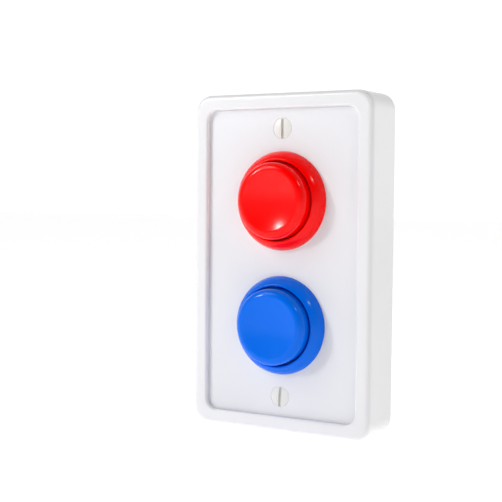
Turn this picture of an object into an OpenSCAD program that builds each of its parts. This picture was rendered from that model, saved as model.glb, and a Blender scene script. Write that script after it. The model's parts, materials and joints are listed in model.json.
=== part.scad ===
// Two-button answer box. The box stands upright on its lower end: X is its width, Z its height,
// and the front faces -Y. The origin is on the lower end face, midway between rim and back.
// Most pieces are drawn lying on their back, with z = 0 at the rim and z rising towards the user.

/* [Case] */
// Width of the box
case_w = 68; // [64:0.5:90]
// Height of the box
case_h = 114.3; // [110:0.1:150]
// Depth from the rim to the back face
case_d = 17.7; // [17.4:0.1:24]
// Radius of the upright corners
corner_r = 6; // [5:0.5:9]
// Rounding of the outer front edge
front_edge_r = 1.8; // [0.6:0.1:2.4]
// Thickness of the side walls
wall_t = 2.4; // [2:0.1:3]
// Thickness of the lip round the back cover
lip_t = 1.3; // [1:0.1:1.5]

/* [Rim and recess] */
// Width of the rim round the recess
rim_w = 5.2; // [4.5:0.1:7]
// Depth of the face plate below the rim
recess_depth = 1.9; // [1.5:0.1:4]
// Radius of the recess corners
recess_corner_r = 4; // [2.5:0.5:6]
// Rounding of the rim's inner edge
rim_edge_r = 0.9; // [0.3:0.1:1.2]
// Width of the ledge that carries the face plate
ledge_w = 2.5; // [1.5:0.1:3]
// Thickness of the ledge
ledge_t = 2; // [1.5:0.1:3]

/* [Face plate and screws] */
// Thickness of the face plate
plate_t = 2; // [1.8:0.1:2.6]
// Distance from the end of the recess to a screw
screw_inset = 6.6; // [5:0.1:8]
// Diameter of the screw head
head_d = 6.9; // [6:0.1:8]
// Diameter of the screw shank
shank_d = 3.5; // [3:0.1:4]
// Length of the screw below its head line
screw_len = 11; // [9:0.5:11]
// Height of the slightly domed head above its edge
head_dome = 0.35; // [0.1:0.05:0.6]
// Width of the screwdriver slot
slot_w = 1.1; // [0.8:0.1:1.4]
// Depth of the screwdriver slot
slot_depth = 0.9; // [0.5:0.1:1.2]
// Wall of the bosses that take the screws
boss_wall = 1.5; // [1.2:0.1:2]

/* [Buttons] */
// Distance between the two buttons
button_spacing = 42; // [41:0.1:46]
// Diameter of a button cap
cap_d = 25.7; // [23:0.1:31]
// Height of the cap above the face plate
cap_h = 9.1; // [8.6:0.1:11]
// Rounding of the cap's shoulder
shoulder_r = 2.6; // [1.5:0.1:3]
// Depth of the finger dish
dish_depth = 1.3; // [0.5:0.1:1.8]
// Thickness of the cap's roof
roof_t = 1.5; // [1:0.1:2]
// Thickness of the cap's side
cap_wall = 1.2; // [0.9:0.1:1.4]
// How far a button presses in
travel = 2.8; // [2:0.1:3.4]
// Gap between the cap and its ring
cap_gap = 0.55; // [0.4:0.05:0.8]
// Width of the ring round a cap
ring_w = 3.3; // [3:0.1:4.5]
// Height of the ring above the face plate
ring_h = 4.6; // [4.2:0.1:5.5]
// Radius of the arc that the ring's sloped side follows
ring_round_r = 6.5; // [6:0.1:9]
// Wall of the barrel behind the ring
barrel_wall = 0.9; // [0.7:0.1:1.2]
// Thickness of the nut behind the plate
nut_t = 2.5; // [1.5:0.1:3]
// Width of the nut round the barrel
nut_w = 2.5; // [2:0.1:3]
// Wire of the return spring
wire_d = 0.7; // [0.5:0.05:0.8]

/* [Switches] */
// Side of the square switch body
switch_w = 13.8; // [13:0.1:14]
// Width of the switch stem
stem_w = 5.9; // [4:0.1:6]
// Height of the switch stem's section
stem_h = 3.9; // [3:0.1:4.5]

/* [Back cover] */
// Thickness of the back cover
cover_t = 1.8; // [1.8:0.1:2.2]
// Diameter of a rubber foot
foot_d = 8; // [6:0.5:10]
// Height of a foot above the back face
foot_proud = 0.9; // [0.5:0.1:1.5]
// Distance from the edge of the cover to a foot's centre
foot_inset = 8.5; // [7:0.5:12]

/* [Board and battery] */
// Width of the circuit board
board_w = 46; // [42:1:52]
// Thickness of the circuit board
board_t = 1.6; // [1:0.1:1.6]
// Diameter of the button cell
cell_d = 20; // [16:0.1:21]
// Thickness of the button cell
cell_t = 3.2; // [2.5:0.1:3.2]
// Height of the cell above the middle of the box
cell_y = 10; // [8:0.5:11]
// Turn that unlocks the battery door
door_turn = 35; // [30:1:45]

/* [Sounder] */
// Diameter of the sounder's brass plate
sounder_d = 20; // [16:0.5:20]
// Diameter of the ceramic disc on it
crystal_d = 14; // [10:0.5:15]
// Height of the sounder above the middle of the box
sounder_y = -15; // [-16:0.5:-14]

/* [Hidden] */
$fn = 64;

// Clearances
fit = 0.1;          // sliding fit of the buttons, and nuts and screws in their holes
part_gap = 0.2;     // round panels that drop into place
stop_gap = 0.3;     // between moving pieces and their stops
cut = 1;            // how far a cut runs past what it cuts

// Colours
white_abs = "#ecebf0";
red_abs = "#fa1414";
blue_abs = "#0a6ae6";
black_nylon = "#202124";
steel = "#c3c5c9";
brass = "#c9a95c";
board_green = "#1f6b40";

// Depths, measured from the rim, negative into the box
plate_front = -recess_depth;
plate_back = plate_front - plate_t;
cover_back = -case_d;
cover_front = cover_back + cover_t;
recess_w = case_w - 2 * rim_w;
recess_h = case_h - 2 * rim_w;
screw_y = recess_h / 2 - screw_inset;
screw_places = [[0, screw_y, 0], [0, -screw_y, -4]];   // x, y and how far the slot is turned
boss_r = shank_d / 2 + fit / 2 + boss_wall;
head_cone_h = min(plate_t - 0.2, (head_d - shank_d) / 2);

// Cap, ring and barrel
cap_r = cap_d / 2;
lip_r = cap_r + cap_gap;
lip_catch = 0.6;                                 // how far the lip overhangs the barrel's bore
bore_r = lip_r + lip_catch;
flange_r = bore_r - fit;
barrel_r = bore_r + barrel_wall;
ring_r = lip_r + ring_w;
crest = plate_front + cap_h;
ring_crest = plate_front + ring_h;
lip_round = 0.5;
ring_foot = [ring_r, plate_front + 0.4];         // the sloped side runs from here
ring_brow = [lip_r + lip_round + 0.1, ring_crest];   // to here
ring_slope = ring_brow - ring_foot;
ring_half = norm(ring_slope) / 2;
ring_centre = (ring_foot + ring_brow) / 2 - [ring_slope[1], -ring_slope[0]]
    * sqrt(ring_round_r * ring_round_r - ring_half * ring_half) / (2 * ring_half);
lip_under = plate_front + 0.5;
flange_top = lip_under - stop_gap;
skirt_len = 2.3;
skirt_end = flange_top - skirt_len;
barrel_floor_t = 0.8;
barrel_floor = skirt_end - travel - stop_gap;
barrel_end = barrel_floor - barrel_floor_t;
cap_roof = crest - dish_depth - roof_t;
post_r = 3;
nut_r = barrel_r + nut_w;

// Board and switch
board_front = barrel_end - stop_gap;
board_back = board_front - board_t;
board_h = 2 * (screw_y - boss_r - 2);
switch_floor_t = 0.4;
switch_roof_t = 0.8;
stem_flange_t = 0.6;
stem_under = board_front + switch_floor_t + stop_gap + travel;
stem_flange_top = stem_under + stem_flange_t;
switch_roof = stem_flange_top + stop_gap;
switch_top = switch_roof + switch_roof_t;
switch_split = board_front + 2.2;
stem_top = switch_top + travel + 0.4;
stem_fit = 0.15;
stem_flange_over = 1.3;
cavity_w = stem_w + 2 * (stem_flange_over + stop_gap);
cavity_h = stem_h + 2 * (stem_flange_over + stop_gap);
switch_hole_r = switch_w / 2 * sqrt(2) + 0.4;
pin_r = 0.5;
pin_x = 4;
pin_y = 5;
pin_len = board_t + 1;
spring_r = switch_hole_r + wire_d / 2 + 0.3;
spring_turns = 4;
spring_steps = 18;
seat_gap = 0.05;
spring_low = barrel_floor + wire_d / 2 + seat_gap;
spring_high = cap_roof - wire_d / 2 - seat_gap;
spring_count = spring_turns * spring_steps;
spring_path = [for (i = [0:spring_count])
    let (a = 360 * i / spring_steps)
    [spring_r * cos(a), spring_r * sin(a),
     spring_low + (spring_high - spring_low) * i / spring_count]];

// Feet
foot_sink = 0.6;
foot_x = case_w / 2 - lip_t - foot_inset;
foot_y = case_h / 2 - lip_t - foot_inset;
foot_places = [for (x = [-1, 1], y = [-1, 1]) [x * foot_x, y * foot_y]];

// Board fixings
standoff_r = 2.5;
board_screw_r = 1;
board_head_r = 2;
board_head_h = 1.3;
board_fix_x = board_w / 2 - 3.5;
board_fix_y = board_h / 2 - 3.5;
board_fix = [for (x = [-1, 1], y = [-1, 1]) [x * board_fix_x, y * board_fix_y]];

// Parts on the board
chip_w = 8.65;
chip_h = 3.9;
chip_low = board_front + 0.15;
chip_top = chip_low + 1.35;
chip_dot_r = 0.4;
leg_pitch = 1.27;
leg_w = 0.4;
leg_reach = 1;
leg_t = 0.2;
leg_rise = 0.9;
can_r = 2;
can_h = 3.6;
can_base = 4.3;
can_x = -board_w / 2 + 6;
can_y = 2.7;
resistor_size = [2, 1.25, 0.5];
resistor_x = board_w / 2 - 8;
resistor_pitch = [3.4, 3.2];

// Battery door: a flange in a counterbore, a hub through the cover and two lugs behind it
cell_r = cell_d / 2;
hub_bore_r = cell_r + 0.35;
hub_r = hub_bore_r + 0.6;
door_hole_r = hub_r + part_gap;
lug_r = hub_r + 1.35;
door_r = lug_r + 0.1;
counterbore_r = door_r + part_gap;
counterbore_depth = 1;
door_face = cover_back + 0.05;
door_flange_top = cover_back + counterbore_depth - 0.1;
hub_top = cover_front + stop_gap;
lug_low = cover_front + part_gap;
lug_top = lug_low + 0.8;
lug_half = 12;                                   // half of a lug's angle
lug_at = [90, 270];
coin_slot_w = 2;
coin_slot_depth = 0.5;

// Cell and contacts
cell_back = hub_top + stop_gap;
cell_front = cell_back + cell_t;
holder_bore_r = cell_r + 0.25;
holder_r = holder_bore_r + 1.45;
holder_end = lug_top + stop_gap;
clip_w = 5;
clip_t = 0.3;
leaf_w = 6;
leaf_t = 0.2;
leaf_foot = 1.5;                                 // reach of its foot past the cell
leaf_bend = -5;                                  // where it leaves the board
leaf_pad = -1;                                   // where it meets the cell
leaf_tip = 4;

// Sounder
pad_t = 1;
disc_t = 0.3;
crystal_t = 0.25;
pad_front = cover_front + pad_t;
disc_front = pad_front + disc_t;
crystal_front = disc_front + crystal_t;
lead_r = 0.4;
lead_rise = 1.8;                                 // how far a lead runs straight before it bends
lead_at = 3;                                     // from the sounder's middle to the inner lead
lead_reach = sounder_d / 2 + 3;
lead_steps = 14;

// ---- helpers ----

// Stands a piece that is drawn on its back upright on the origin
module upright() {
    translate([0, -case_d / 2, case_h / 2]) rotate([90, 0, 0]) children();
}

module rounded_rect(w, h, r) {
    square([w - 2 * r, h], center = true);
    square([w, h - 2 * r], center = true);
    for (x = [-1, 1], y = [-1, 1])
        translate([x * (w / 2 - r), y * (h / 2 - r)]) circle(r);
}

module rounded_slab(w, h, r, low, high) {
    translate([0, 0, low]) linear_extrude(high - low) rounded_rect(w, h, r);
}

// Carries a profile round a rounded rectangle; its x runs outward from the corner's centre
module swept_round(w, h, r) {
    cx = w / 2 - r;
    cy = h / 2 - r;
    for (c = [[cx, cy, 0], [-cx, cy, 90], [-cx, -cy, 180], [cx, -cy, 270]])
        translate([c[0], c[1], 0]) rotate([0, 0, c[2]]) rotate_extrude(angle = 90) children();
    for (a = [0, 180])
        rotate([0, 0, a]) translate([cx, 0, 0])
            rotate([90, 0, 0]) linear_extrude(2 * cy, center = true) children();
    for (a = [90, 270])
        rotate([0, 0, a]) translate([cy, 0, 0])
            rotate([90, 0, 0]) linear_extrude(2 * cx, center = true) children();
}

module block(w, h, low, high) {
    translate([-w / 2, -h / 2, low]) cube([w, h, high - low]);
}

module disc(r, low, high) {
    translate([0, 0, low]) cylinder(r = r, h = high - low);
}

module band(inner, outer, low, high) {
    translate([inner, low]) square([outer - inner, high - low]);
}

// ---- case ----

module outer_edge_profile() {
    flat = corner_r - front_edge_r;
    band(0, corner_r, cover_back, -front_edge_r);
    band(0, flat, cover_back, 0);
    translate([flat, -front_edge_r]) circle(front_edge_r);
}

module recess_edge_profile() {
    band(0, recess_corner_r, plate_back, cut);
    difference() {
        band(0, recess_corner_r + rim_edge_r, -rim_edge_r, cut);
        translate([recess_corner_r + rim_edge_r, -rim_edge_r]) circle(rim_edge_r);
    }
}

module filled_round(w, h, r, low, high) {
    swept_round(w, h, r) children();
    block(w - 2 * r, h - 2 * r, low, high);
}

module housing() {
    color(white_abs) upright() difference() {
        filled_round(case_w, case_h, corner_r, cover_back, 0) outer_edge_profile();
        filled_round(recess_w, recess_h, recess_corner_r, plate_back, cut) recess_edge_profile();
        rounded_slab(recess_w - 2 * ledge_w, recess_h - 2 * ledge_w,
            max(recess_corner_r - ledge_w, 0.5), cover_back - cut, plate_back + 0.5);
        rounded_slab(case_w - 2 * wall_t, case_h - 2 * wall_t, corner_r - wall_t,
            cover_back - cut, plate_back - ledge_t);
        rounded_slab(case_w - 2 * lip_t, case_h - 2 * lip_t, corner_r - lip_t,
            cover_back - cut, cover_front);
    }
}

module face_plate() {
    color(white_abs) upright() difference() {
        rounded_slab(recess_w - 2 * part_gap, recess_h - 2 * part_gap,
            recess_corner_r - part_gap, plate_back, plate_front);
        for (y = [-1, 1])
            translate([0, y * button_spacing / 2, 0])
                disc(barrel_r + fit, plate_back - cut, plate_front + cut);
        for (p = screw_places) translate([p[0], p[1], 0]) {
            disc(shank_d / 2 + fit, plate_back - cut, plate_front + cut);
            translate([0, 0, plate_front - head_cone_h])
                cylinder(r1 = shank_d / 2 + fit, r2 = head_d / 2 + part_gap, h = head_cone_h);
        }
    }
}

// The dome is a cap of a large sphere that meets the head's edge
module face_screw(turn) {
    edge_r = head_d / 2;
    low = plate_front - fit;
    dome_r = (edge_r * edge_r + head_dome * head_dome) / (2 * head_dome);
    difference() {
        union() {
            disc(shank_d / 2, plate_front - screw_len, low - head_cone_h + 0.2);
            translate([0, 0, low - head_cone_h])
                cylinder(r1 = shank_d / 2, r2 = edge_r, h = head_cone_h);
            rotate_extrude() intersection() {
                translate([0, low + head_dome - dome_r]) circle(dome_r, $fn = 96);
                band(0, edge_r, low, low + head_dome);
            }
        }
        rotate([0, 0, turn])
            block(slot_w, head_d + cut, low + head_dome - slot_depth, low + head_dome + cut);
    }
}

module face_screws() {
    color(white_abs) upright()
        for (p = screw_places) translate([p[0], p[1], 0]) face_screw(p[2]);
}

module back_cover() {
    edge = lip_t + part_gap;
    color(white_abs) upright() difference() {
        union() {
            rounded_slab(case_w - 2 * edge, case_h - 2 * edge, corner_r - edge,
                cover_back, cover_front);
            for (p = screw_places) translate([p[0], p[1], 0])
                disc(boss_r, cover_front - cut, plate_back - stop_gap);
            for (p = board_fix) translate([p[0], p[1], 0])
                disc(standoff_r, cover_front - cut, board_back);
        }
        for (p = screw_places) translate([p[0], p[1], 0])
            disc(shank_d / 2 + fit / 2, plate_front - screw_len - 0.5, 0);
        for (p = board_fix) translate([p[0], p[1], 0])
            disc(board_screw_r + fit / 2, cover_front, 0);
        for (p = foot_places) translate([p[0], p[1], 0])
            disc(foot_d / 2 + fit, cover_back - cut, cover_back + foot_sink);
        translate([0, cell_y, 0]) {
            disc(door_hole_r, cover_back - cut, cover_front + cut);
            disc(counterbore_r, cover_back - cut, cover_back + counterbore_depth);
            for (a = lug_at) rotate([0, 0, a - door_turn])
                lug_sector(lug_half + 2, 0, lug_r + part_gap,
                    cover_back - cut, cover_front + cut);
        }
        for (i = [-2:2]) translate([0, sounder_y + i * 2.6, 0])
            rounded_slab(11 - 2 * abs(i), 1.2, 0.59, cover_back - cut, cover_front + cut);
    }
}

module rubber_feet() {
    color(black_nylon) upright() for (p = foot_places) translate([p[0], p[1], 0])
        disc(foot_d / 2, cover_back - foot_proud, cover_back + foot_sink);
}

// A slice of a ring, centred on the x axis
module lug_sector(half, inner, outer, low, high) {
    translate([0, 0, low]) linear_extrude(high - low) intersection() {
        difference() {
            circle(outer);
            if (inner > 0) circle(inner);
        }
        polygon([[0, 0], [2 * outer, -2 * outer * tan(half)], [2 * outer, 2 * outer * tan(half)]]);
    }
}

module battery_door() {
    color(white_abs) upright() translate([0, cell_y, 0]) difference() {
        union() {
            disc(door_r, door_face, door_flange_top);
            difference() {
                disc(hub_r, door_flange_top - 0.1, lug_top);
                disc(hub_bore_r, hub_top, lug_top + cut);
            }
            for (a = lug_at) rotate([0, 0, a])
                lug_sector(lug_half, hub_bore_r, lug_r, lug_low, lug_top);
        }
        block(hub_r * 1.3, coin_slot_w, door_face - cut, door_face + coin_slot_depth);
    }
}

// ---- buttons ----

module at_button(side) {
    upright() translate([0, side * button_spacing / 2, 0]) children();
}

module bezel(side, paint) {
    color(paint) at_button(side) rotate_extrude() difference() {
        union() {
            intersection() {
                translate(ring_centre) circle(ring_round_r);
                band(lip_r, ring_r, plate_front, ring_crest);
            }
            band(lip_r, barrel_r, lip_under, plate_front + 0.6);
            band(bore_r, barrel_r, barrel_end, lip_under);
            band(switch_hole_r, barrel_r, barrel_end, barrel_floor);
        }
        difference() {
            band(lip_r - cut, lip_r + lip_round, ring_crest - lip_round, ring_crest + cut);
            translate([lip_r + lip_round, ring_crest - lip_round]) circle(lip_round);
        }
        band(0, bore_r, barrel_floor, lip_under);
    }
}

module ring_nut(side) {
    color(black_nylon) at_button(side) difference() {
        disc(nut_r, plate_back - nut_t, plate_back);
        disc(barrel_r + fit / 2, plate_back - nut_t - cut, plate_back + cut);
        for (a = [0:30:330]) rotate([0, 0, a]) translate([nut_r, 0, 0])
            block(2, 2.4, plate_back - nut_t - cut, plate_back - 0.6);
    }
}

// The dish is a cap of a large sphere that ends where the shoulder begins
module button(side, paint) {
    dish_edge = cap_r - shoulder_r;
    dish_r = (dish_edge * dish_edge + dish_depth * dish_depth) / (2 * dish_depth);
    color(paint) at_button(side) rotate_extrude() {
        difference() {
            union() {
                band(0, cap_r, skirt_end, crest - shoulder_r);
                band(0, dish_edge, skirt_end, crest);
                intersection() {
                    translate([dish_edge, crest - shoulder_r]) circle(shoulder_r);
                    band(0, cap_r, skirt_end, crest);
                }
                band(cap_r - cap_wall, flange_r, skirt_end, flange_top);
            }
            translate([0, crest - dish_depth + dish_r]) circle(dish_r, $fn = 128);
            band(0, cap_r - cap_wall, skirt_end - cut, cap_roof);
        }
        band(0, post_r, stem_top + fit, cap_roof + 0.5);
    }
}

// One tube swept along a list of points, with each ring square to the way it runs
function unit(v) = v / norm(v);
function ahead(path, i) =
    unit(path[min(i + 1, len(path) - 1)] - path[max(i - 1, 0)]);
function side_of(way, up) = unit(cross(way, up));
function ring_points(path, i, r, sides, up) =
    let (way = ahead(path, i), across = side_of(way, up), over = cross(across, way))
    [for (k = [0:sides - 1])
        path[i] + r * (cos(360 * k / sides) * across + sin(360 * k / sides) * over)];

module tube(path, r, sides, up) {
    last = len(path) - 1;
    points = [for (i = [0:last]) each ring_points(path, i, r, sides, up)];
    walls = [for (i = [0:last - 1], k = [0:sides - 1])
        let (n = (k + 1) % sides)
        [i * sides + k, (i + 1) * sides + k, (i + 1) * sides + n, i * sides + n]];
    first_end = [for (k = [0:sides - 1]) k];
    last_end = [for (k = [sides - 1:-1:0]) last * sides + k];
    polyhedron(points, concat([first_end, last_end], walls), convexity = 6);
}

module spring(side) {
    color(steel) at_button(side) tube(spring_path, wire_d / 2, 8, [0, 0, 1]);
}

// ---- switches ----

module switch_base(side) {
    color(black_nylon) at_button(side) difference() {
        block(switch_w, switch_w, board_front, switch_split);
        block(cavity_w, cavity_h, board_front + switch_floor_t, switch_split + cut);
    }
}

module switch_cover(side) {
    color("#4a4d52") at_button(side) difference() {
        block(switch_w, switch_w, switch_split, switch_top);
        block(cavity_w, cavity_h, switch_split - cut, switch_roof);
        block(stem_w + 2 * stem_fit, stem_h + 2 * stem_fit, switch_split, switch_top + cut);
    }
}

module switch_stem(side) {
    color("#d9dadc") at_button(side) {
        block(stem_w, stem_h, stem_under, stem_top);
        block(stem_w + 2 * stem_flange_over, stem_h + 2 * stem_flange_over,
            stem_under, stem_flange_top);
    }
}

module switch_pins(side) {
    color(brass) at_button(side) for (x = [-1, 1])
        translate([x * pin_x, side * pin_y, 0]) disc(pin_r, board_front - pin_len, board_front);
}

// ---- board ----

module circuit_board() {
    color(board_green) upright() difference() {
        rounded_slab(board_w, board_h, 2, board_back, board_front);
        for (p = board_fix) translate([p[0], p[1], 0])
            disc(board_screw_r + fit, board_back - cut, board_front + cut);
        for (s = [-1, 1], x = [-1, 1])
            translate([x * pin_x, s * (button_spacing / 2 + pin_y), 0])
                disc(pin_r + fit, board_back - cut, board_front + cut);
    }
}

module board_screws() {
    color(steel) upright() for (p = board_fix) translate([p[0], p[1], 0]) difference() {
        union() {
            disc(board_screw_r, cover_front + 0.3, board_front + 0.2);
            disc(board_head_r, board_front, board_front + board_head_h);
        }
        for (a = [0, 90]) rotate([0, 0, a])
            block(0.5, 2.4, board_front + board_head_h - 0.6, board_front + board_head_h + cut);
    }
}

module controller_chip() {
    color(black_nylon) upright() difference() {
        block(chip_w, chip_h, chip_low, chip_top);
        translate([-chip_w / 2 + 0.9, 0, 0]) disc(chip_dot_r, chip_top - 0.15, chip_top + cut);
    }
}

module chip_legs() {
    color(steel) upright() for (i = [-3:3], turn = [0, 180])
        rotate([0, 0, turn]) translate([i * leg_pitch - leg_w / 2, chip_h / 2, board_front]) {
            cube([leg_w, leg_reach, leg_t]);
            cube([leg_w, leg_t, leg_rise]);
        }
}

module capacitors() {
    color("#8f959c") upright() for (y = [-can_y, can_y]) translate([can_x, y, 0]) {
        block(can_base, can_base, board_front, board_front + 0.6);
        disc(can_r, board_front + 0.5, board_front + can_h);
    }
}

module resistors() {
    color("#3a3c42") upright() for (i = [0, 1], j = [-0.5, 0.5])
        translate([resistor_x + i * resistor_pitch[0], j * resistor_pitch[1], 0])
            block(resistor_size[0], resistor_size[1], board_front, board_front + resistor_size[2]);
}

// ---- battery ----

module at_cell() {
    upright() translate([0, cell_y, 0]) children();
}

module cell_holder() {
    color(black_nylon) at_cell() difference() {
        disc(holder_r, holder_end, board_back);
        disc(holder_bore_r, holder_end - cut, board_back + cut);
        translate([holder_r, 0, 0])
            block(2 * (holder_r - holder_bore_r) + 2, clip_w + 0.6, holder_end - cut, board_back + cut);
        translate([-holder_r, 0, 0])
            block(2 * (holder_r - holder_bore_r) + 2, leaf_w + 0.6, board_back - 0.6, board_back + cut);
    }
}

module button_cell() {
    color(steel) at_cell() {
        disc(cell_r, cell_back, cell_front - 0.2);
        disc(cell_r - 1.1, cell_front - 0.3, cell_front);
    }
}

module cell_clip() {
    low = holder_end + 0.2;
    color(brass) at_cell() {
        translate([cell_r + 0.05, -clip_w / 2, low]) cube([clip_t, clip_w, board_back - low]);
        translate([cell_r + 0.05, -clip_w / 2, board_back - clip_t]) cube([3, clip_w, clip_t]);
    }
}

// A strip with its foot on the board and its middle on the cell
module cell_leaf() {
    foot = board_back;
    end = -cell_r - leaf_foot;
    color(brass) at_cell() rotate([90, 0, 0]) linear_extrude(leaf_w, center = true) polygon([
        [end, foot], [leaf_bend, foot], [leaf_pad, cell_front + leaf_t],
        [leaf_tip, cell_front + leaf_t], [leaf_tip, cell_front],
        [leaf_pad, cell_front], [leaf_bend, foot - leaf_t], [end, foot - leaf_t]
    ]);
}

// ---- sounder ----

module at_sounder() {
    upright() translate([0, sounder_y, 0]) children();
}

module sounder_pad() {
    color("#3c3c40") at_sounder() difference() {
        disc(sounder_d / 2 + 0.5, cover_front, pad_front);
        disc(sounder_d / 2 - 2.5, cover_front - cut, pad_front + cut);
    }
}

module sounder_plate() {
    color(brass) at_sounder() disc(sounder_d / 2, pad_front, disc_front);
}

module sounder_crystal() {
    color("#e8e4d8") at_sounder() disc(crystal_d / 2, disc_front, crystal_front);
}

// Each lead rises from its solder point, bends over and ends at the back of the board
function bezier(a, b, c, d, t) =
    pow(1 - t, 3) * a + 3 * pow(1 - t, 2) * t * b + 3 * (1 - t) * t * t * c + pow(t, 3) * d;

function lead_path(from, to) =
    let (start = from + [0, 0, seat_gap], end = [to[0], to[1], board_back - seat_gap])
    [for (i = [0:lead_steps])
        bezier(start, start + [0, 0, lead_rise], end - [0, 0, lead_rise], end, i / lead_steps)];

module sounder_wires() {
    color(red_abs) at_sounder() {
        tube(lead_path([lead_at, 3, crystal_front], [lead_reach, 3]), lead_r, 8, [0, 1, 0]);
        tube(lead_path([sounder_d / 2 - 1.2, -2, disc_front], [lead_reach, -2]), lead_r, 8, [0, 1, 0]);
    }
}

// ---- nodes ----

housing();
face_plate();
face_screws();
back_cover();
rubber_feet();
battery_door();
bezel(1, red_abs);  // red_bezel
ring_nut(1);  // red_ring_nut
button(1, red_abs);  // red_button
spring(1);  // red_spring
switch_base(1);  // red_switch_base
switch_cover(1);  // red_switch_cover
switch_stem(1);  // red_switch_stem
switch_pins(1);  // red_switch_pins
bezel(-1, blue_abs);  // blue_bezel
ring_nut(-1);  // blue_ring_nut
button(-1, blue_abs);  // blue_button
spring(-1);  // blue_spring
switch_base(-1);  // blue_switch_base
switch_cover(-1);  // blue_switch_cover
switch_stem(-1);  // blue_switch_stem
switch_pins(-1);  // blue_switch_pins
circuit_board();
board_screws();
controller_chip();
chip_legs();
capacitors();
resistors();
cell_holder();
button_cell();
cell_clip();
cell_leaf();
sounder_pad();
sounder_plate();
sounder_crystal();
sounder_wires();
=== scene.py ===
import bpy
import bmesh
import json
import math
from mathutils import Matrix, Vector


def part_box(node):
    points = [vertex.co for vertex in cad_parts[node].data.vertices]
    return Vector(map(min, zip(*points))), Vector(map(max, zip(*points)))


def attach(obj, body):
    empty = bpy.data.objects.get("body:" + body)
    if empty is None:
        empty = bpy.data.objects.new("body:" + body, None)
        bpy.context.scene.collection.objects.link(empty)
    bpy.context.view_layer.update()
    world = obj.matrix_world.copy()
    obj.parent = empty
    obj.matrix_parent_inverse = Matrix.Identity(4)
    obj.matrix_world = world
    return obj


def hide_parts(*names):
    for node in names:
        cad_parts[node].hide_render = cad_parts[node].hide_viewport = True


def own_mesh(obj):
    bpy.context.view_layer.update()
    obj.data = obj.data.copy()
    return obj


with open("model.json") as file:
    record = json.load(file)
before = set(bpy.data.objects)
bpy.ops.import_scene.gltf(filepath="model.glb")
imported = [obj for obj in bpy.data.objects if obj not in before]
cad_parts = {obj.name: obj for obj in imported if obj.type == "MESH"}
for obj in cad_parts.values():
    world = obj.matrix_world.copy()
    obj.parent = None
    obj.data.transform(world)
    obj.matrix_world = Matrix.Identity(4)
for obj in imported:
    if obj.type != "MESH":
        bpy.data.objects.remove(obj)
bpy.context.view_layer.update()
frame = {"nodes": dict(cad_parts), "record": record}

mm = 0.001
weld = 0.001 * mm                # points closer than this are merged
caseLow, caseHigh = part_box("housing")
plateLow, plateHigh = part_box("face_plate")
rimY = caseLow.y                 # the rim's front plane
backY = caseHigh.y
caseWidth = caseHigh.x - caseLow.x
caseHeight = caseHigh.z - caseLow.z
midCase = Vector((0, 0, caseHeight / 2))
plateY = plateLow.y              # front of the face plate


def freshStart():
    # out of edit mode, with nothing selected
    if bpy.context.object and bpy.context.object.mode == "EDIT":
        bpy.ops.object.mode_set(mode="OBJECT")
    bpy.ops.object.select_all(action="DESELECT")


def finishPiece(obj, angle=35):
    # place goes into the mesh, then smooth shading that keeps the flats flat
    freshStart()
    obj.select_set(True)
    bpy.context.view_layer.objects.active = obj
    bpy.ops.object.transform_apply(location=True, rotation=True, scale=True)
    bpy.ops.object.shade_smooth_by_angle(angle=math.radians(angle), keep_sharp_edges=False)
    bpy.ops.object.modifier_add(type="WEIGHTED_NORMAL")
    obj.modifiers[-1].keep_sharp = True
    bpy.ops.object.modifier_apply(modifier=obj.modifiers[-1].name)
    return obj


def cutWith(obj, cutters):
    # boolean cuts, applied one by one, and the cutters thrown away
    freshStart()
    for cutter in cutters:
        bpy.context.view_layer.objects.active = obj
        cut = obj.modifiers.new("cut", "BOOLEAN")
        cut.operation = "DIFFERENCE"
        cut.solver = "EXACT"
        cut.object = cutter
        bpy.ops.object.modifier_apply(modifier=cut.name)
        bpy.data.objects.remove(cutter)


def shiftLoop(obj, last, new, centre):
    # edit mode: the selected loop goes from one rounded rectangle to the next,
    # each given as (width, height, corner radius, y)
    width, height, radius, y = last
    newWidth, newHeight, newRadius, newY = new
    editMesh = bmesh.from_edit_mesh(obj.data)
    for v in editMesh.verts:
        if v.select:
            right = math.copysign(1, v.co.x - centre.x)
            up = math.copysign(1, v.co.z - centre.z)
            out = Vector((v.co.x - centre.x - right * (width / 2 - radius), 0,
                          v.co.z - centre.z - up * (height / 2 - radius))).normalized()
            v.co = Vector((centre.x + right * (newWidth / 2 - newRadius), newY,
                           centre.z + up * (newHeight / 2 - newRadius))) + newRadius * out
    bmesh.update_edit_mesh(obj.data)


def ringOfLoops(name, loops, centre, segments=12, closed=True):
    # starts from a plane with rounded corners and extrudes its edge from loop to loop
    freshStart()
    width, height, radius, y = loops[0]
    middle = (centre.x, y, centre.z)
    bpy.ops.mesh.primitive_plane_add(size=1, location=middle, rotation=(math.pi / 2, 0, 0))
    obj = bpy.context.object
    obj.name = obj.data.name = name
    bpy.ops.object.transform_apply(location=True, rotation=True, scale=True)
    bpy.ops.object.mode_set(mode="EDIT")
    bpy.ops.transform.resize(value=(width, 1, height), center_override=middle)
    bpy.ops.mesh.select_mode(type="VERT")
    bpy.ops.mesh.select_all(action="SELECT")
    bpy.ops.mesh.bevel(offset=radius, segments=segments, affect="VERTICES")
    if closed:
        bpy.ops.mesh.delete(type="ONLY_FACE")
    bpy.ops.mesh.select_mode(type="EDGE")
    bpy.ops.mesh.select_all(action="SELECT")
    pairs = list(zip(loops, loops[1:])) + ([(loops[-1], loops[0])] if closed else [])
    for last, new in pairs:
        bpy.ops.mesh.extrude_edges_move()
        shiftLoop(obj, last, new, centre)
    if not closed:
        bpy.ops.mesh.edge_face_add()
    bpy.ops.mesh.select_all(action="SELECT")
    bpy.ops.mesh.remove_doubles(threshold=weld)
    bpy.ops.mesh.normals_make_consistent(inside=False)
    return obj


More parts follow.
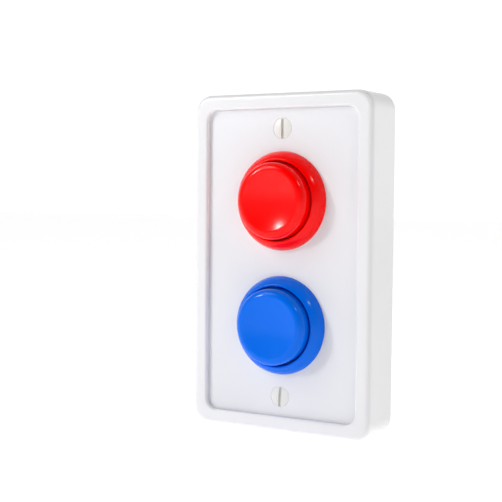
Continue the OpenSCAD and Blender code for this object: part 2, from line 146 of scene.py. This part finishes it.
def arc(r, y, radius, start, end, steps):
    # points of an arc in the (radius, y) plane of a turned profile, angles in degrees
    turn = [math.radians(start + (end - start) * i / steps) for i in range(steps + 1)]
    return [(r + radius * math.cos(a), y + radius * math.sin(a)) for a in turn]


def turned(name, points, centre, steps=96, closed=True):
    # a profile of (radius, y) drawn point by point and spun round the Y axis
    freshStart()
    start = (centre.x + points[0][0], points[0][1], centre.z)
    bpy.ops.mesh.primitive_plane_add(size=mm, location=start)
    obj = bpy.context.object
    obj.name = obj.data.name = name
    bpy.ops.object.mode_set(mode="EDIT")
    bpy.ops.mesh.select_mode(type="VERT")
    bpy.ops.mesh.select_all(action="SELECT")
    bpy.ops.mesh.merge(type="CENTER")
    chain = points + [points[0]] if closed else points
    for (r0, y0), (r1, y1) in zip(chain, chain[1:]):
        bpy.ops.mesh.extrude_region_move(TRANSFORM_OT_translate={"value": (r1 - r0, y1 - y0, 0)})
    bpy.ops.mesh.select_all(action="SELECT")
    bpy.ops.mesh.spin(steps=steps, angle=2 * math.pi,
                      center=(centre.x, 0, centre.z), axis=(0, 1, 0))
    bpy.ops.mesh.select_all(action="SELECT")
    bpy.ops.mesh.remove_doubles(threshold=weld)
    bpy.ops.mesh.normals_make_consistent(inside=False)
    return obj


def standFor(obj, node, material):
    # the piece takes over from the node of that name
    body = bodyOf[node]
    obj.data.materials.clear()
    obj.data.materials.append(material)
    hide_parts(node)
    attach(obj, body)


def linear(hexColour):
    # sRGB hex to the linear colour that a shader takes
    parts = [int(hexColour[i:i + 2], 16) / 255 for i in (1, 3, 5)]
    return [p / 12.92 if p <= 0.04045 else ((p + 0.055) / 1.055) ** 2.4 for p in parts] + [1]


def addNode(owner, kind, inputs=None, **settings):
    # one node, its settings, and its sockets as values or links
    node = owner.node_tree.nodes.new(kind)
    for key, value in settings.items():
        setattr(node, key, value)
    for key, value in (inputs or {}).items():
        if isinstance(value, bpy.types.NodeSocket):
            owner.node_tree.links.new(value, node.inputs[key])
        else:
            node.inputs[key].default_value = value
    return node


def newMaterial(name, colour, roughness, **sockets):
    mat = bpy.data.materials.new(name)
    mat.use_nodes = True
    shader = mat.node_tree.nodes["Principled BSDF"]
    shader.inputs["Base Color"].default_value = linear(colour)
    shader.inputs["Roughness"].default_value = roughness
    for key, value in sockets.items():
        shader.inputs[key.replace("_", " ")].default_value = value
    return mat, shader


def perMetre(sizeMm):
    # texture scale for a pattern that repeats every so many millimetres
    return 1 / (sizeMm * mm)


polishPatch = 9                  # mm across a patch of even polish
polishRange = (0.15, 0.85)       # how much of the noise's spread the polish takes up
lineRange = (0.3, 0.7)           # the same for the lines in worked metal
brightLine, dullLine = 0.75, 1.3     # roughness of the lines against the metal's own


def mouldedPlastic(name, colour, roughness, grainMm, grainDepthMm, spread=0.04, **sockets):
    # the mould's own texture as fine bump, and broad patches where the polish differs a little
    mat, shader = newMaterial(name, colour, roughness, **sockets)
    place = addNode(mat, "ShaderNodeTexCoord").outputs["Object"]
    patches = addNode(mat, "ShaderNodeTexNoise",
                      {"Vector": place, "Scale": perMetre(polishPatch), "Detail": 3.0})
    polish = addNode(mat, "ShaderNodeMapRange", {
        "Value": patches.outputs["Fac"],
        "From Min": polishRange[0], "From Max": polishRange[1],
        "To Min": roughness - spread, "To Max": roughness + spread})
    grain = addNode(mat, "ShaderNodeTexNoise",
                    {"Vector": place, "Scale": perMetre(grainMm), "Detail": 4.0, "Roughness": 0.55})
    bump = addNode(mat, "ShaderNodeBump", {
        "Height": grain.outputs["Fac"], "Strength": 1.0, "Distance": grainDepthMm * mm})
    mat.node_tree.links.new(polish.outputs["Result"], shader.inputs["Roughness"])
    mat.node_tree.links.new(bump.outputs["Normal"], shader.inputs["Normal"])
    return mat


def workedMetal(name, colour, roughness, lineMm, stretch, depthMm):
    # drawing and rolling leave lines along one direction, so many times longer than wide
    mat, shader = newMaterial(name, colour, roughness, Metallic=1.0)
    place = addNode(mat, "ShaderNodeTexCoord").outputs["Object"]
    pulled = addNode(mat, "ShaderNodeMapping", {"Vector": place, "Scale": (1.0, 1.0, 1 / stretch)})
    lines = addNode(mat, "ShaderNodeTexNoise",
                    {"Vector": pulled.outputs["Vector"], "Scale": perMetre(lineMm), "Detail": 3.0})
    sheen = addNode(mat, "ShaderNodeMapRange", {
        "Value": lines.outputs["Fac"], "From Min": lineRange[0], "From Max": lineRange[1],
        "To Min": roughness * brightLine, "To Max": roughness * dullLine})
    bump = addNode(mat, "ShaderNodeBump", {
        "Height": lines.outputs["Fac"], "Strength": 1.0, "Distance": depthMm * mm})
    mat.node_tree.links.new(sheen.outputs["Result"], shader.inputs["Roughness"])
    mat.node_tree.links.new(bump.outputs["Normal"], shader.inputs["Normal"])
    return mat


# gloss white ABS from a polished mould: faint orange peel, about 3 mm from crest to crest
shellAbs = mouldedPlastic("Gloss White Moulded ABS", "#e6e6e9", 0.24, 3.0, 0.0025, 0.025,
                          Coat_Weight=0.25)
# the plate comes from a less polished mould, so it is more of a satin
plateAbs = mouldedPlastic("Satin White Moulded ABS", "#e3e4e8", 0.36, 0.9, 0.003)
# the back is spark-eroded, drawn a little coarser than life so that it shows
coverAbs = mouldedPlastic("Spark Textured White ABS", "#dfdfe2", 0.52, 0.35, 0.02)
# buttons: solid-coloured, from hand-polished tools, nearly mirror smooth with sharp highlights
redAbs = mouldedPlastic("Polished Red Moulded ABS", "#ff0000", 0.16, 3.5, 0.003, 0.02,
                        Specular_IOR_Level=0.22)
blueAbs = mouldedPlastic("Polished Blue Moulded ABS", "#006ae8", 0.16, 3.5, 0.003, 0.02,
                         Specular_IOR_Level=0.15)
# baked on the screw heads: a warmer white than the case, with a soft sheen
screwEnamel = mouldedPlastic("Off White Baked Enamel", "#e0e0dc", 0.34, 0.7, 0.006)
# rubber takes the light with hardly any shine
footRubber = mouldedPlastic("Moulded Black Rubber", "#1b1b1d", 0.78, 0.25, 0.02)
# glass-filled nylon: dull, with a fine tooth
blackNylon = mouldedPlastic("Moulded Black Nylon", "#1d1e20", 0.5, 0.4, 0.01)
switchGrey = mouldedPlastic("Moulded Grey Nylon", "#53565b", 0.45, 0.4, 0.008)
# uncoloured acetal: milky and waxy
stemAcetal = mouldedPlastic("Moulded Natural Acetal", "#dcdcdd", 0.35, 1.0, 0.004)
# lacquer over the weave of the board: an even semi-gloss green
maskGreen = mouldedPlastic("Green Solder Mask On Glass Epoxy", "#1c6a3c", 0.34, 0.6, 0.006)
# chip bodies: matt, slightly sandy black
chipEpoxy = mouldedPlastic("Moulded Black Epoxy", "#17181a", 0.55, 0.2, 0.01)
# open skin of cut foam: dark pits and no shine
foamPad = mouldedPlastic("Closed Cell Foam", "#36363a", 0.9, 0.3, 0.12)
# fired silver paste: pale and chalky
ceramic = mouldedPlastic("Silvered Piezo Ceramic", "#dcd9cf", 0.4, 0.5, 0.005)
# soft sleeve: smooth and a little shiny
wireCover = mouldedPlastic("Extruded Red PVC Sleeve", "#c4201b", 0.4, 0.5, 0.004)
# drawn wire: bright, with short fine lines
springWire = workedMetal("Drawn Spring Steel Wire", "#c3c5c8", 0.25, 0.2, 3, 0.002)
# thin zinc over a turned head: cool and slightly cloudy
zincSteel = workedMetal("Zinc Plated Steel", "#cfd2d6", 0.3, 0.25, 2, 0.002)
# pressed and plated: warm silver, the brightest metal here
cellNickel = workedMetal("Nickel Plated Steel Can", "#d2d1cc", 0.22, 0.15, 8, 0.001)
# rolled strip: long faint lines over yellow metal
contactBrass = workedMetal("Rolled Brass Strip", "#cda95b", 0.28, 0.15, 10, 0.001)
# dipped legs: soft silver
tinnedLegs = workedMetal("Tinned Copper Alloy", "#cfd0d2", 0.3, 0.2, 4, 0.001)
# deep-drawn cans: satin, with upright lines
canAluminium = workedMetal("Drawn Aluminium Can", "#c6c8cb", 0.32, 0.2, 6, 0.001)

bodyOf = {n: b for b, group in frame["record"]["behaviour"]["bodies"].items() for n in group}
print("materials made")


camera = {
    "place": (0.18646, -0.33864, 0.08067),
    "turn": (90 - 2.93, -0.48, 30.91),   # degrees: tilt, roll, heading
    "lens": 81.05,
    "nearest": 0.01,             # metres before the lens
}
bpy.ops.object.camera_add(location=camera["place"],
                          rotation=[math.radians(a) for a in camera["turn"]])
bpy.context.object.data.lens = camera["lens"]
bpy.context.object.data.clip_start = camera["nearest"]
bpy.context.scene.camera = bpy.context.object


shell = {
    "cornerRadius": 6 * mm,
    "rimWidth": plateLow.x - caseLow.x - 0.2 * mm,     # the plate has 0.2 mm all round
    "recessRadius": 4 * mm,
    "outerRound": 1.8 * mm,
    "innerRound": 0.9 * mm,
    "wall": 2.4 * mm,
    "lip": 1.3 * mm,
    "ledge": 2.5 * mm,
    "ledgeDepth": 2 * mm,
    "coverThickness": 1.8 * mm,
    "backBreak": 0.25 * mm,      # small round at the back edge
    "steps": 9,                  # loops in each round of the rim
    "cornerSteps": 14,
}


def quarter(steps):
    # angles of a quarter turn
    return [math.pi / 2 * i / steps for i in range(steps + 1)]


def inFrom(edge, radius, y):
    # a loop that lies so far inside the case's outline
    return (caseWidth - 2 * edge, caseHeight - 2 * edge, radius, y)


def makeHousing(s):
    rim, outer, inner = s["rimWidth"], s["outerRound"], s["innerRound"]
    plateBack = plateHigh.y
    ledgeBack = plateBack + s["ledgeDepth"]
    coverFront = backY - s["coverThickness"]
    loops = [inFrom(s["backBreak"], s["cornerRadius"] - s["backBreak"], backY),
             inFrom(0, s["cornerRadius"], backY - s["backBreak"])]
    for a in quarter(s["steps"]):              # round the outer front edge
        edge = outer * (1 - math.cos(a))
        loops.append(inFrom(edge, s["cornerRadius"] - edge, rimY + outer * (1 - math.sin(a))))
    for a in quarter(s["steps"]):              # and over into the recess
        over = inner * (1 - math.sin(a))
        loops.append(inFrom(rim - over, s["recessRadius"] + over, rimY + inner * (1 - math.cos(a))))
    loops += [
        inFrom(rim, s["recessRadius"], plateBack),
        inFrom(rim + s["ledge"], s["recessRadius"] - s["ledge"], plateBack),
        inFrom(rim + s["ledge"], s["recessRadius"] - s["ledge"], ledgeBack),
        inFrom(s["wall"], s["cornerRadius"] - s["wall"], ledgeBack),
        inFrom(s["wall"], s["cornerRadius"] - s["wall"], coverFront),
        inFrom(s["lip"], s["cornerRadius"] - s["lip"], coverFront),
        inFrom(s["lip"], s["cornerRadius"] - s["lip"], backY),
    ]
    return finishPiece(ringOfLoops("housingShell", loops, midCase, segments=s["cornerSteps"]))


standFor(makeHousing(shell), "housing", shellAbs)
print("housing made")


plate = {
    "cornerRadius": 3.8 * mm,
    "edgeRound": 0.04 * mm,
    "edgeGrow": 0.19 * mm,       # leaves a hairline between the plate and the case
    "barrelHole": 15.05 * mm,
    "screwHole": 1.85 * mm,
    "sinkRadius": 3.65 * mm,
    "sinkDepth": 1.7 * mm,
    "overcut": 0.5 * mm,         # how far a countersink starts in front of the plate
}
screwLow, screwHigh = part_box("face_screws")
screwRadius = (screwHigh.x - screwLow.x) / 2
screwHeights = {1: screwHigh.z - screwRadius, -1: screwLow.z + screwRadius}


def drill(name, radiusFront, radiusBack, yFront, yBack, centre, vertices=64):
    # a round cutter, straight or tapered, that runs from one depth to the other
    freshStart()
    bpy.ops.mesh.primitive_cone_add(vertices=vertices, radius1=radiusFront, radius2=radiusBack,
                                    depth=yBack - yFront, rotation=(-math.pi / 2, 0, 0),
                                    location=(centre.x, (yFront + yBack) / 2, centre.z))
    bpy.context.object.name = name
    return bpy.context.object


def makePlate(s):
    width = plateHigh.x - plateLow.x + 2 * s["edgeGrow"]
    height = plateHigh.z - plateLow.z + 2 * s["edgeGrow"]
    loops = [(width, height, s["cornerRadius"], plateHigh.y)]
    for a in quarter(3):
        edge = s["edgeRound"] * (1 - math.cos(a))
        loops.append((width - 2 * edge, height - 2 * edge, s["cornerRadius"] - edge,
                      plateY + s["edgeRound"] * (1 - math.sin(a))))
    obj = ringOfLoops("facePlate", loops, midCase, segments=12, closed=False)
    cutters = []
    for colour in ("red", "blue"):
        low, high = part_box(colour + "_bezel")
        cutters.append(drill("barrelCut", s["barrelHole"], s["barrelHole"],
                             plateY - mm, plateHigh.y + mm, (low + high) / 2, 96))
    slope = (s["sinkRadius"] - s["screwHole"]) / s["sinkDepth"]
    for height in screwHeights.values():
        centre = Vector((0, 0, height))
        cutters.append(drill("holeCut", s["screwHole"], s["screwHole"],
                             plateY - mm, plateHigh.y + mm, centre))
        cutters.append(drill("sinkCut", s["sinkRadius"] + slope * s["overcut"], s["screwHole"],
                             plateY - s["overcut"], plateY + s["sinkDepth"], centre))
    cutWith(obj, cutters)
    return finishPiece(obj, 25)


standFor(makePlate(plate), "face_plate", plateAbs)
print("face plate made")


screw = {
    "edge": 3.45 * mm,
    "dome": 0.35 * mm,
    "sink": 1.7 * mm,
    "shank": 1.75 * mm,
    "tipLength": 0.4 * mm,
    "tipTaper": 0.5 * mm,
    "slotWidth": 1.1 * mm,
    "slotDepth": 0.9 * mm,
    "edgeBreak": 0.12 * mm,
    "turns": {1: 0, -1: 4},          # degrees that each slot stands off upright
}


def makeScrew(s, side):
    centre = Vector((0, 0, screwHeights[side]))
    top = screwLow.y
    low = top + s["dome"]
    domeRadius = (s["edge"] ** 2 + s["dome"] ** 2) / (2 * s["dome"])
    reach = math.degrees(math.asin(s["edge"] / domeRadius))
    dome = arc(0, top + domeRadius, domeRadius, -90, -90 + reach, 8)
    tip = screwHigh.y
    profile = dome + [(s["edge"], low + s["edgeBreak"]), (s["shank"], low + s["sink"]),
                      (s["shank"], tip - s["tipLength"]), (s["shank"] - s["tipTaper"], tip),
                      (0, tip)]
    obj = turned("faceScrew", profile, centre, 64, closed=False)
    freshStart()
    bpy.ops.mesh.primitive_cube_add(size=1, location=(0, top, centre.z))
    slotCut = bpy.context.object
    bpy.ops.object.mode_set(mode="EDIT")
    bpy.ops.transform.resize(value=(s["slotWidth"], 2 * s["slotDepth"], 3 * s["edge"]),
                             center_override=(0, top, centre.z))
    bpy.ops.transform.rotate(value=-math.radians(s["turns"][side]), orient_axis="Y",
                             center_override=(0, top, centre.z))
    cutWith(obj, [slotCut])
    bpy.context.view_layer.objects.active = obj
    soften = obj.modifiers.new("soften", "BEVEL")
    soften.width = s["edgeBreak"] / 2
    soften.segments = 2
    soften.angle_limit = math.radians(50)
    bpy.ops.object.modifier_apply(modifier=soften.name)
    return obj


def makeScrews(s):
    pair = [makeScrew(s, side) for side in (1, -1)]
    freshStart()
    for obj in pair:
        obj.select_set(True)
    bpy.context.view_layer.objects.active = pair[0]
    bpy.ops.object.join()
    return finishPiece(pair[0], 30)


standFor(makeScrews(screw), "face_screws", screwEnamel)
print("screws made")


ring = {
    "innerRadius": 13.4 * mm,
    "lipRound": 0.5 * mm,
    "height": 4.6 * mm,
    "foot": 0.4 * mm,            # height of the straight edge under the sloped side
    "slopeRadius": 6.5 * mm,     # the sloped side bulges along this arc
    "land": 0.1 * mm,            # flat between the slope and the lip's round
    "boreRadius": 14 * mm,
    "barrelWall": 0.9 * mm,
    "lipBack": -0.5 * mm,        # the lip's underside, in front of the plate
    "floorRadius": 10.16 * mm,
    "floorThickness": 0.8 * mm,
}


def makeRing(s, colour):
    low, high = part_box(colour + "_bezel")
    centre = (low + high) / 2
    outer = (high.x - low.x) / 2
    barrel = s["boreRadius"] + s["barrelWall"]
    crest = plateY - s["height"]
    lip = s["innerRadius"] + s["lipRound"]
    foot = Vector((outer, plateY - s["foot"]))
    brow = Vector((lip + s["land"], crest))
    slope = brow - foot
    inward = Vector((slope.y, -slope.x)).normalized()
    reach = math.sqrt(s["slopeRadius"] ** 2 - (slope.length / 2) ** 2)
    bulge = (foot + brow) / 2 + inward * reach
    first, last = [math.degrees(math.atan2(p.y - bulge.y, p.x - bulge.x)) for p in (foot, brow)]
    profile = [(outer, plateY)] + arc(bulge.x, bulge.y, s["slopeRadius"], first, last, 16)
    profile += arc(lip, crest + s["lipRound"], s["lipRound"], -90, -180, 7)
    profile += [(s["innerRadius"], plateY + s["lipBack"]), (s["boreRadius"], plateY + s["lipBack"]),
                (s["boreRadius"], high.y - s["floorThickness"]),
                (s["floorRadius"], high.y - s["floorThickness"]), (s["floorRadius"], high.y),
                (barrel, high.y), (barrel, plateY)]
    return finishPiece(turned(colour + "Ring", profile, centre, 128), 40)


cap = {
    "radius": 12.85 * mm,
    "shoulder": 2.6 * mm,
    "dish": 1.3 * mm,
    "wall": 1.2 * mm,
    "flange": 13.9 * mm,
    "flangeLength": 2.3 * mm,
    "roof": 1.5 * mm,
    "post": 3 * mm,
    "postGap": 0.1 * mm,         # to the switch's stem
}


def makeCap(s, colour):
    low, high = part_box(colour + "_button")
    centre = (low + high) / 2
    crest, end = low.y, high.y
    edge = s["radius"] - s["shoulder"]
    dishRadius = (edge ** 2 + s["dish"] ** 2) / (2 * s["dish"])
    reach = math.degrees(math.asin(edge / dishRadius))
    dish = arc(0, crest + s["dish"] - dishRadius, dishRadius, 90, 90 - reach, 16)
    shoulder = arc(edge, crest + s["shoulder"], s["shoulder"], -90, 0, 14)
    flangeFront = end - s["flangeLength"]
    roof = crest + s["dish"] + s["roof"]
    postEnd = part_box(colour + "_switch_stem")[0].y - s["postGap"]
    inner = s["radius"] - s["wall"]
    profile = dish + shoulder[1:] + [
        (s["radius"], flangeFront), (s["flange"], flangeFront), (s["flange"], end), (inner, end),
        (inner, roof), (s["post"], roof), (s["post"], postEnd), (0, postEnd)]
    return finishPiece(turned(colour + "Cap", profile, centre, 128, closed=False), 40)


spring = {
    "wire": 0.35 * mm,           # radius of the wire
    "turns": 4,
    "sides": 14,
    "steps": 56,                 # round one turn
}


def makeSpring(s, colour):
    # a round wire carried round and along the button's axis
    low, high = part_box(colour + "_spring")
    centre = (low + high) / 2
    radius = (high.x - low.x) / 2 - s["wire"]
    run = high.y - low.y - 2 * s["wire"]
    freshStart()
    bpy.ops.mesh.primitive_circle_add(vertices=s["sides"], radius=s["wire"])
    obj = bpy.context.object
    obj.name = colour + "SpringWire"
    bpy.ops.object.mode_set(mode="EDIT")
    bpy.ops.mesh.select_all(action="SELECT")
    bpy.ops.transform.translate(value=(radius, 0, 0))
    bpy.ops.object.mode_set(mode="OBJECT")
    coil = obj.modifiers.new("coil", "SCREW")
    coil.axis = "Y"
    coil.angle = -2 * math.pi
    coil.screw_offset = -run / s["turns"]
    coil.iterations = s["turns"]
    coil.steps = coil.render_steps = s["steps"]
    bpy.ops.object.modifier_apply(modifier=coil.name)
    bpy.ops.object.mode_set(mode="EDIT")
    bpy.ops.mesh.select_all(action="SELECT")
    bpy.ops.mesh.fill_holes(sides=0)
    bpy.ops.mesh.select_all(action="SELECT")
    bpy.ops.mesh.normals_make_consistent(inside=False)
    bpy.ops.object.mode_set(mode="OBJECT")
    obj.location = (centre.x, high.y - s["wire"], centre.z)
    return finishPiece(obj, 40)


for colour, paint in (("red", redAbs), ("blue", blueAbs)):
    standFor(makeRing(ring, colour), colour + "_bezel", paint)
    standFor(makeCap(cap, colour), colour + "_button", paint)
    coil = makeSpring(spring, colour)
    standFor(coil, colour + "_spring", springWire)
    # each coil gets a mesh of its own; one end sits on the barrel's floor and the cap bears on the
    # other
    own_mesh(coil)
print("rings, caps and springs made")


nodeMaterials = {
    "back_cover": coverAbs, "battery_door": coverAbs, "rubber_feet": footRubber,
    "circuit_board": maskGreen, "board_screws": zincSteel, "controller_chip": chipEpoxy,
    "chip_legs": tinnedLegs, "capacitors": canAluminium, "resistors": chipEpoxy,
    "cell_holder": blackNylon, "button_cell": cellNickel, "cell_clip": contactBrass,
    "cell_leaf": contactBrass, "sounder_pad": foamPad, "sounder_plate": contactBrass,
    "sounder_crystal": ceramic, "sounder_wires": wireCover,
}
for colour in ("red", "blue"):
    nodeMaterials.update({
        colour + "_ring_nut": blackNylon,
        colour + "_switch_base": blackNylon, colour + "_switch_cover": switchGrey,
        colour + "_switch_stem": stemAcetal, colour + "_switch_pins": contactBrass})
for name, material in nodeMaterials.items():     # the pieces that stay as they come
    node = frame["nodes"][name]
    node.data.materials.clear()
    node.data.materials.append(material)
print("carried-over pieces painted")


studio = {
    "floorSize": 6, "floorDrop": 0.2 * mm, "floorHex": "#f8f8f8", "floorGlow": 0.56,
    "roomHex": "#ffffff",
    "roomFront": 0.03, "roomBack": 0.85,         # darker before the object than behind it
    "roomSpan": (-0.6, 0.8),     # part of the way from front to back where it changes
    "haze": 0.45, "hazeTop": 0.5,                # the haze ends at this height of gaze
    "backdrop": 1.05,
    # name: (place, size, power, colour, aim)
    "key": ((-0.237, -0.282, 0.336), 0.2, 0.64, "#ffffff", (0, 0, 0.07)),
    "spark": ((-0.573, -0.636, 0.348), 0.08, 1.8, "#ffffff", (0, 0, 0.07)),
    "side": ((0.417, -0.194, 0.456), 0.06, 0.45, "#fff6e8", (0, 0, 0.07)),
}


def areaLight(name, place, size, power, colour, aim):
    bpy.ops.object.light_add(type="AREA", location=place)
    lamp = bpy.context.object
    lamp.name = name
    lamp.data.size = size
    lamp.data.energy = power
    lamp.data.color = linear(colour)[:3]
    lamp.rotation_euler = (Vector(aim) - Vector(place)).to_track_quat("-Z", "Y").to_euler()
    lamp.visible_camera = False


def makeRoom(s):
    # soft light from all round; straight to the lens the room is plain white
    world = bpy.data.worlds.new("room")
    bpy.context.scene.world = world
    world.use_nodes = True
    room = world.node_tree.nodes["Background"]
    way = addNode(world, "ShaderNodeTexCoord").outputs["Generated"]
    parts = addNode(world, "ShaderNodeSeparateXYZ", {"Vector": way}).outputs
    glow = addNode(world, "ShaderNodeMapRange", {
        "Value": parts["Y"], "From Min": s["roomSpan"][0], "From Max": s["roomSpan"][1],
        "To Min": s["roomFront"], "To Max": s["roomBack"]})
    # brighter low down, so that the floor's far edge doesn't draw a line in the gloss
    haze = addNode(world, "ShaderNodeMapRange", {
        "Value": parts["Z"], "From Min": 0.0, "From Max": s["hazeTop"],
        "To Min": s["haze"], "To Max": 0.0},
        interpolation_type="SMOOTHSTEP")
    total = addNode(world, "ShaderNodeMath", {0: glow.outputs["Result"], 1: haze.outputs["Result"]})
    world.node_tree.links.new(total.outputs["Value"], room.inputs["Strength"])
    room.inputs["Color"].default_value = linear(s["roomHex"])
    backdrop = addNode(world, "ShaderNodeBackground",
                       {"Color": (1, 1, 1, 1), "Strength": s["backdrop"]})
    seen = addNode(world, "ShaderNodeLightPath").outputs["Is Camera Ray"]
    mix = addNode(world, "ShaderNodeMixShader", {
        "Fac": seen, 1: room.outputs["Background"], 2: backdrop.outputs["Background"]})
    world.node_tree.links.new(mix.outputs["Shader"],
                              world.node_tree.nodes["World Output"].inputs["Surface"])


def makeStudio(s):
    bpy.ops.mesh.primitive_plane_add(size=s["floorSize"], location=(0, 0, -s["floorDrop"]))
    floor = bpy.context.object
    floor.name = "floor"
    mat, shader = newMaterial("Matt White Sweep", s["floorHex"], 0.9)
    shader.inputs["Emission Color"].default_value = (1, 1, 1, 1)
    shader.inputs["Emission Strength"].default_value = s["floorGlow"]
    floor.data.materials.append(mat)
    for name in ("key", "spark", "side"):
        areaLight(name, *s[name])
    makeRoom(s)
    bpy.context.scene.view_settings.view_transform = "Standard"


makeStudio(studio)
print("studio made")
